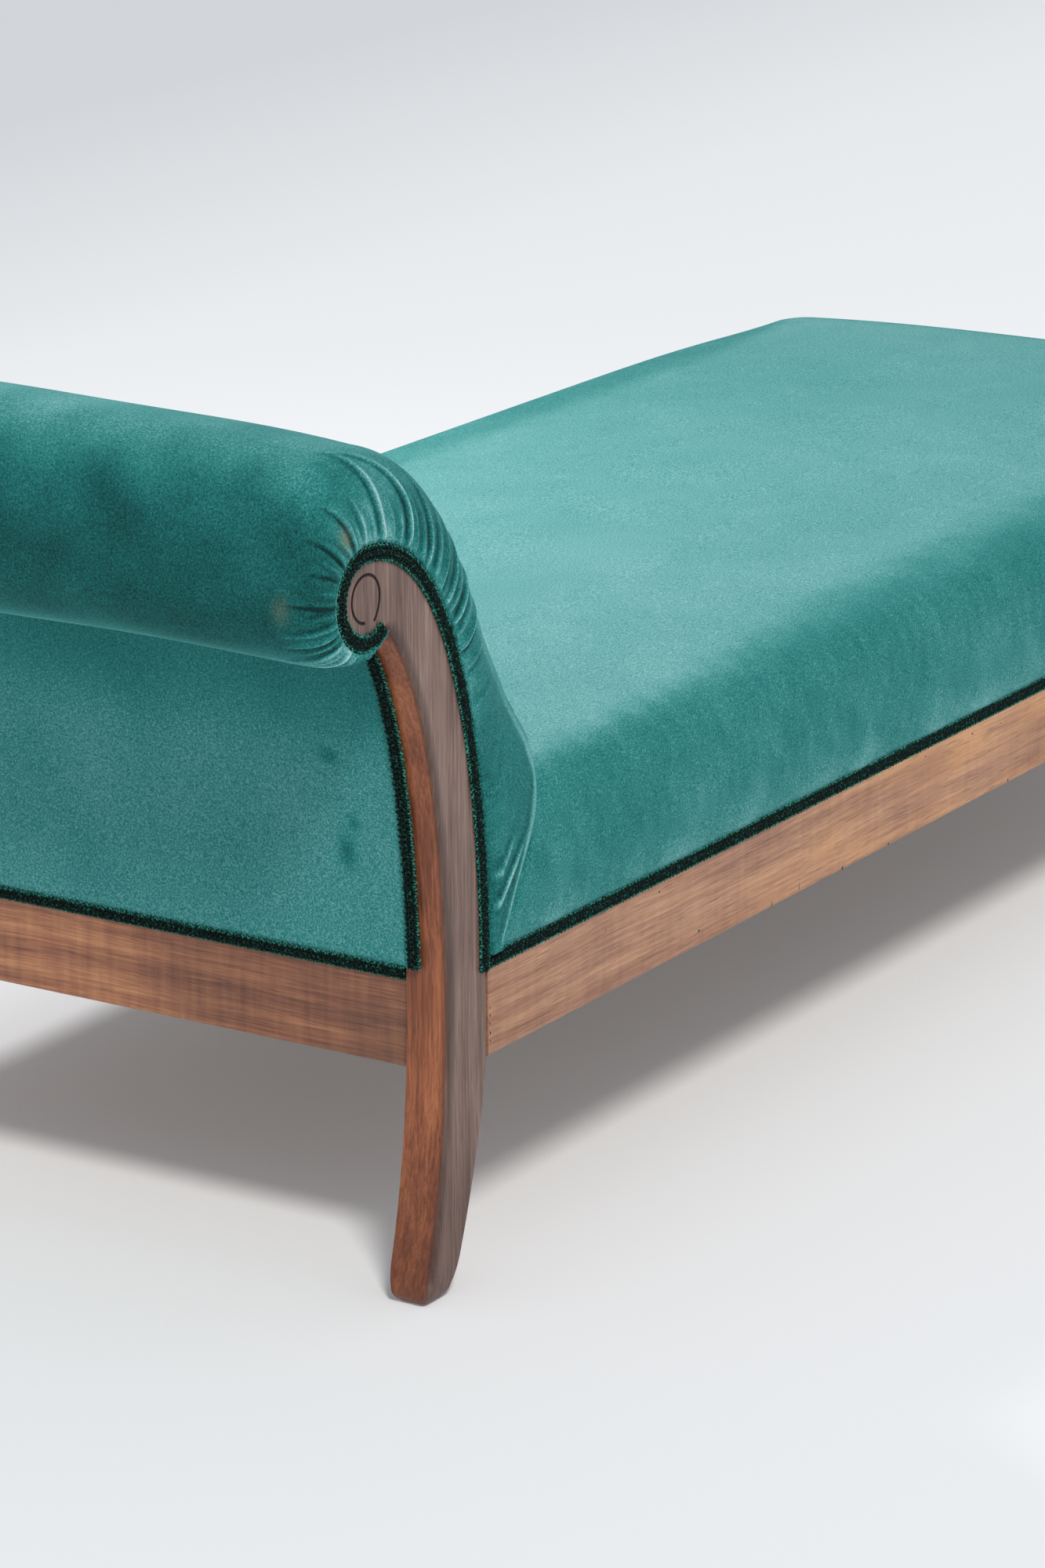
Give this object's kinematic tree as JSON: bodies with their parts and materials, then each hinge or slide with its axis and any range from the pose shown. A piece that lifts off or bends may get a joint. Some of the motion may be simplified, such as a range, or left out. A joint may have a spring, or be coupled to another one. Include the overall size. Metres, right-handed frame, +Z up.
{
  "type": "fainting couch",
  "caption": "Long sprung seat with one raised, scrolled head end on sabre legs, show-wood frame and velvet cover.",
  "frame": {"origin": "middle of the couch's footprint, on the floor", "axes": "+X runs from the head end to the foot end, +Y from the front long side to the back one, +Z up"},
  "size_m": [2.1622, 0.81, 0.7457],
  "materials": {
    "show_wood": "old worn polish, satin",
    "inner_wood": "sawn, bare",
    "screw_steel": "dull",
    "jute_webbing": "woven, matte",
    "spring_steel": "darkened wire",
    "twine": "matte",
    "hessian": "open weave, matte",
    "stuffing": "loose fibre, matte",
    "velvet": "short pile, worn",
    "gimp": "braided, matte"
  },
  "bodies": {
    "root": {"head_post_front": "show_wood", "head_post_back": "show_wood", "foot_leg_front": "show_wood", "foot_leg_back": "show_wood", "front_rail": "show_wood", "back_rail": "show_wood", "head_rail": "show_wood", "foot_rail": "show_wood", "centre_bearer": "inner_wood", "head_tacking_rail": "inner_wood", "tuck_batten": "inner_wood", "roll_batten": "inner_wood", "rail_dowels": "inner_wood", "corner_blocks": "inner_wood", "corner_block_screws": "screw_steel", "seat_webbing_long": "jute_webbing", "seat_webbing_cross": "jute_webbing", "springs_front_row": "spring_steel", "springs_middle_row": "spring_steel", "springs_back_row": "spring_steel", "spring_lashing": "twine", "seat_hessian": "hessian", "seat_stuffing": "stuffing", "seat_cover": "velvet", "head_webbing": "jute_webbing", "head_hessian": "hessian", "head_stuffing": "stuffing", "head_cover": "velvet", "outside_back_lining": "hessian", "outside_back_cover": "velvet", "gimp_front_rail": "gimp", "gimp_back_rail": "gimp", "gimp_foot_rail": "gimp", "gimp_head_rail": "gimp", "gimp_scroll_front": "gimp", "gimp_scroll_back": "gimp", "gimp_back_edge_front": "gimp", "gimp_back_edge_back": "gimp"}
  },
  "joints": []
}
